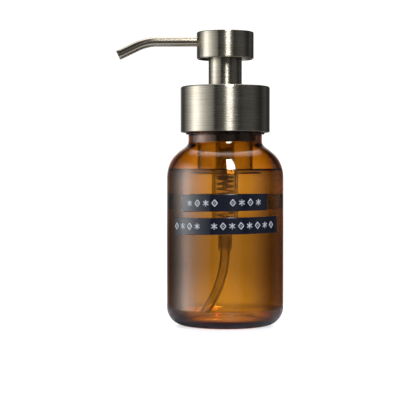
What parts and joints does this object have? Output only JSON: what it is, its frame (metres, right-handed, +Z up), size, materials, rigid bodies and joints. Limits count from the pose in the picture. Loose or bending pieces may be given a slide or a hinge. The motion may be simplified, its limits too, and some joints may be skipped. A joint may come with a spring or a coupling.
{
  "type": "foaming soap pump dispenser",
  "caption": "Round-shouldered amber glass bottle with label tapes and a screw-on brass collar, whose foaming pump has a plunger head and a bent spout.",
  "frame": {"origin": "centre of the bottle's flat base, on the axis of the bottle and the pump", "axes": "+Z up along the pump's axis, -X along the spout at rest, -Y towards the front with the label tapes"},
  "size_m": [0.0933, 0.0661, 0.1627],
  "materials": {
    "amber_glass": "clear amber, glossy",
    "label_tape": "glossy near-black embossing tape",
    "antique_brass": "brushed, darkened",
    "black_plastic": "moulded, black",
    "natural_plastic": "moulded, natural white",
    "seal_rubber": "soft, matte",
    "spring_steel": "drawn wire and ground ball",
    "nylon_net": "woven net"
  },
  "bodies": {
    "bottle": {"bottle": "amber_glass", "label_tape_upper": "label_tape", "label_tape_lower": "label_tape", "label_tape_back": "label_tape"},
    "gasket": {"neck_gasket": "seal_rubber"},
    "pump_unit": {"pump_housing": "natural_plastic", "neck_plug": "black_plastic", "dip_tube": "natural_plastic", "inlet_ball_cage": "natural_plastic", "return_spring": "spring_steel"},
    "collar": {"closure_cap": "black_plastic", "collar_shell": "antique_brass"},
    "plunger": {"air_piston": "natural_plastic", "air_check_disc": "seal_rubber"},
    "head": {"piston_rod": "natural_plastic", "liquid_piston": "natural_plastic", "mesh_holder": "natural_plastic", "mesh_coarse": "nylon_net", "mesh_fine": "nylon_net", "head_core": "black_plastic", "head_shell": "antique_brass", "stem_sleeve": "antique_brass", "spout_tube": "antique_brass", "spout_seal": "seal_rubber"},
    "outlet_valve": {"valve_stem": "natural_plastic"},
    "inlet_valve": {"inlet_ball": "spring_steel"}
  },
  "joints": [
    {"name": "lift_out", "type": "slide", "parent": "bottle", "child": "gasket", "axis": [0, 0, 1], "range_m": [0, 0.13]},
    {"name": "unscrew_rise", "type": "slide", "parent": "gasket", "child": "pump_unit", "axis": [0, 0, 1], "range_m": [0, 0.0053]},
    {"name": "collar_turn", "type": "hinge", "parent": "pump_unit", "child": "collar", "pos_m": [0, 0, 0.1075], "axis": [0, 0, 1], "range_deg": [0, 450]},
    {"name": "head_press", "type": "slide", "parent": "pump_unit", "child": "plunger", "axis": [0, 0, -1], "range_m": [0, 0.014], "stiffness_N_per_m": 600, "springref_m": -0.006, "deforming": ["return_spring"]},
    {"name": "spout_swivel", "type": "hinge", "parent": "plunger", "child": "head", "pos_m": [0, 0, 0.1478], "axis": [0, 0, 1], "continuous": true},
    {"name": "valve_lift", "type": "slide", "parent": "head", "child": "outlet_valve", "axis": [0, 0, 1], "range_m": [0, 0.00084]},
    {"name": "inlet_ball_lift", "type": "slide", "parent": "pump_unit", "child": "inlet_valve", "axis": [0, 0, 1], "range_m": [0, 0.001]}
  ],
  "couplings": [
    {"joint": "unscrew_rise", "follows": "collar_turn", "m_per_rad": 0.00067323},
    {"joint": "valve_lift", "follows": "head_press", "ratio": 0.06}
  ]
}
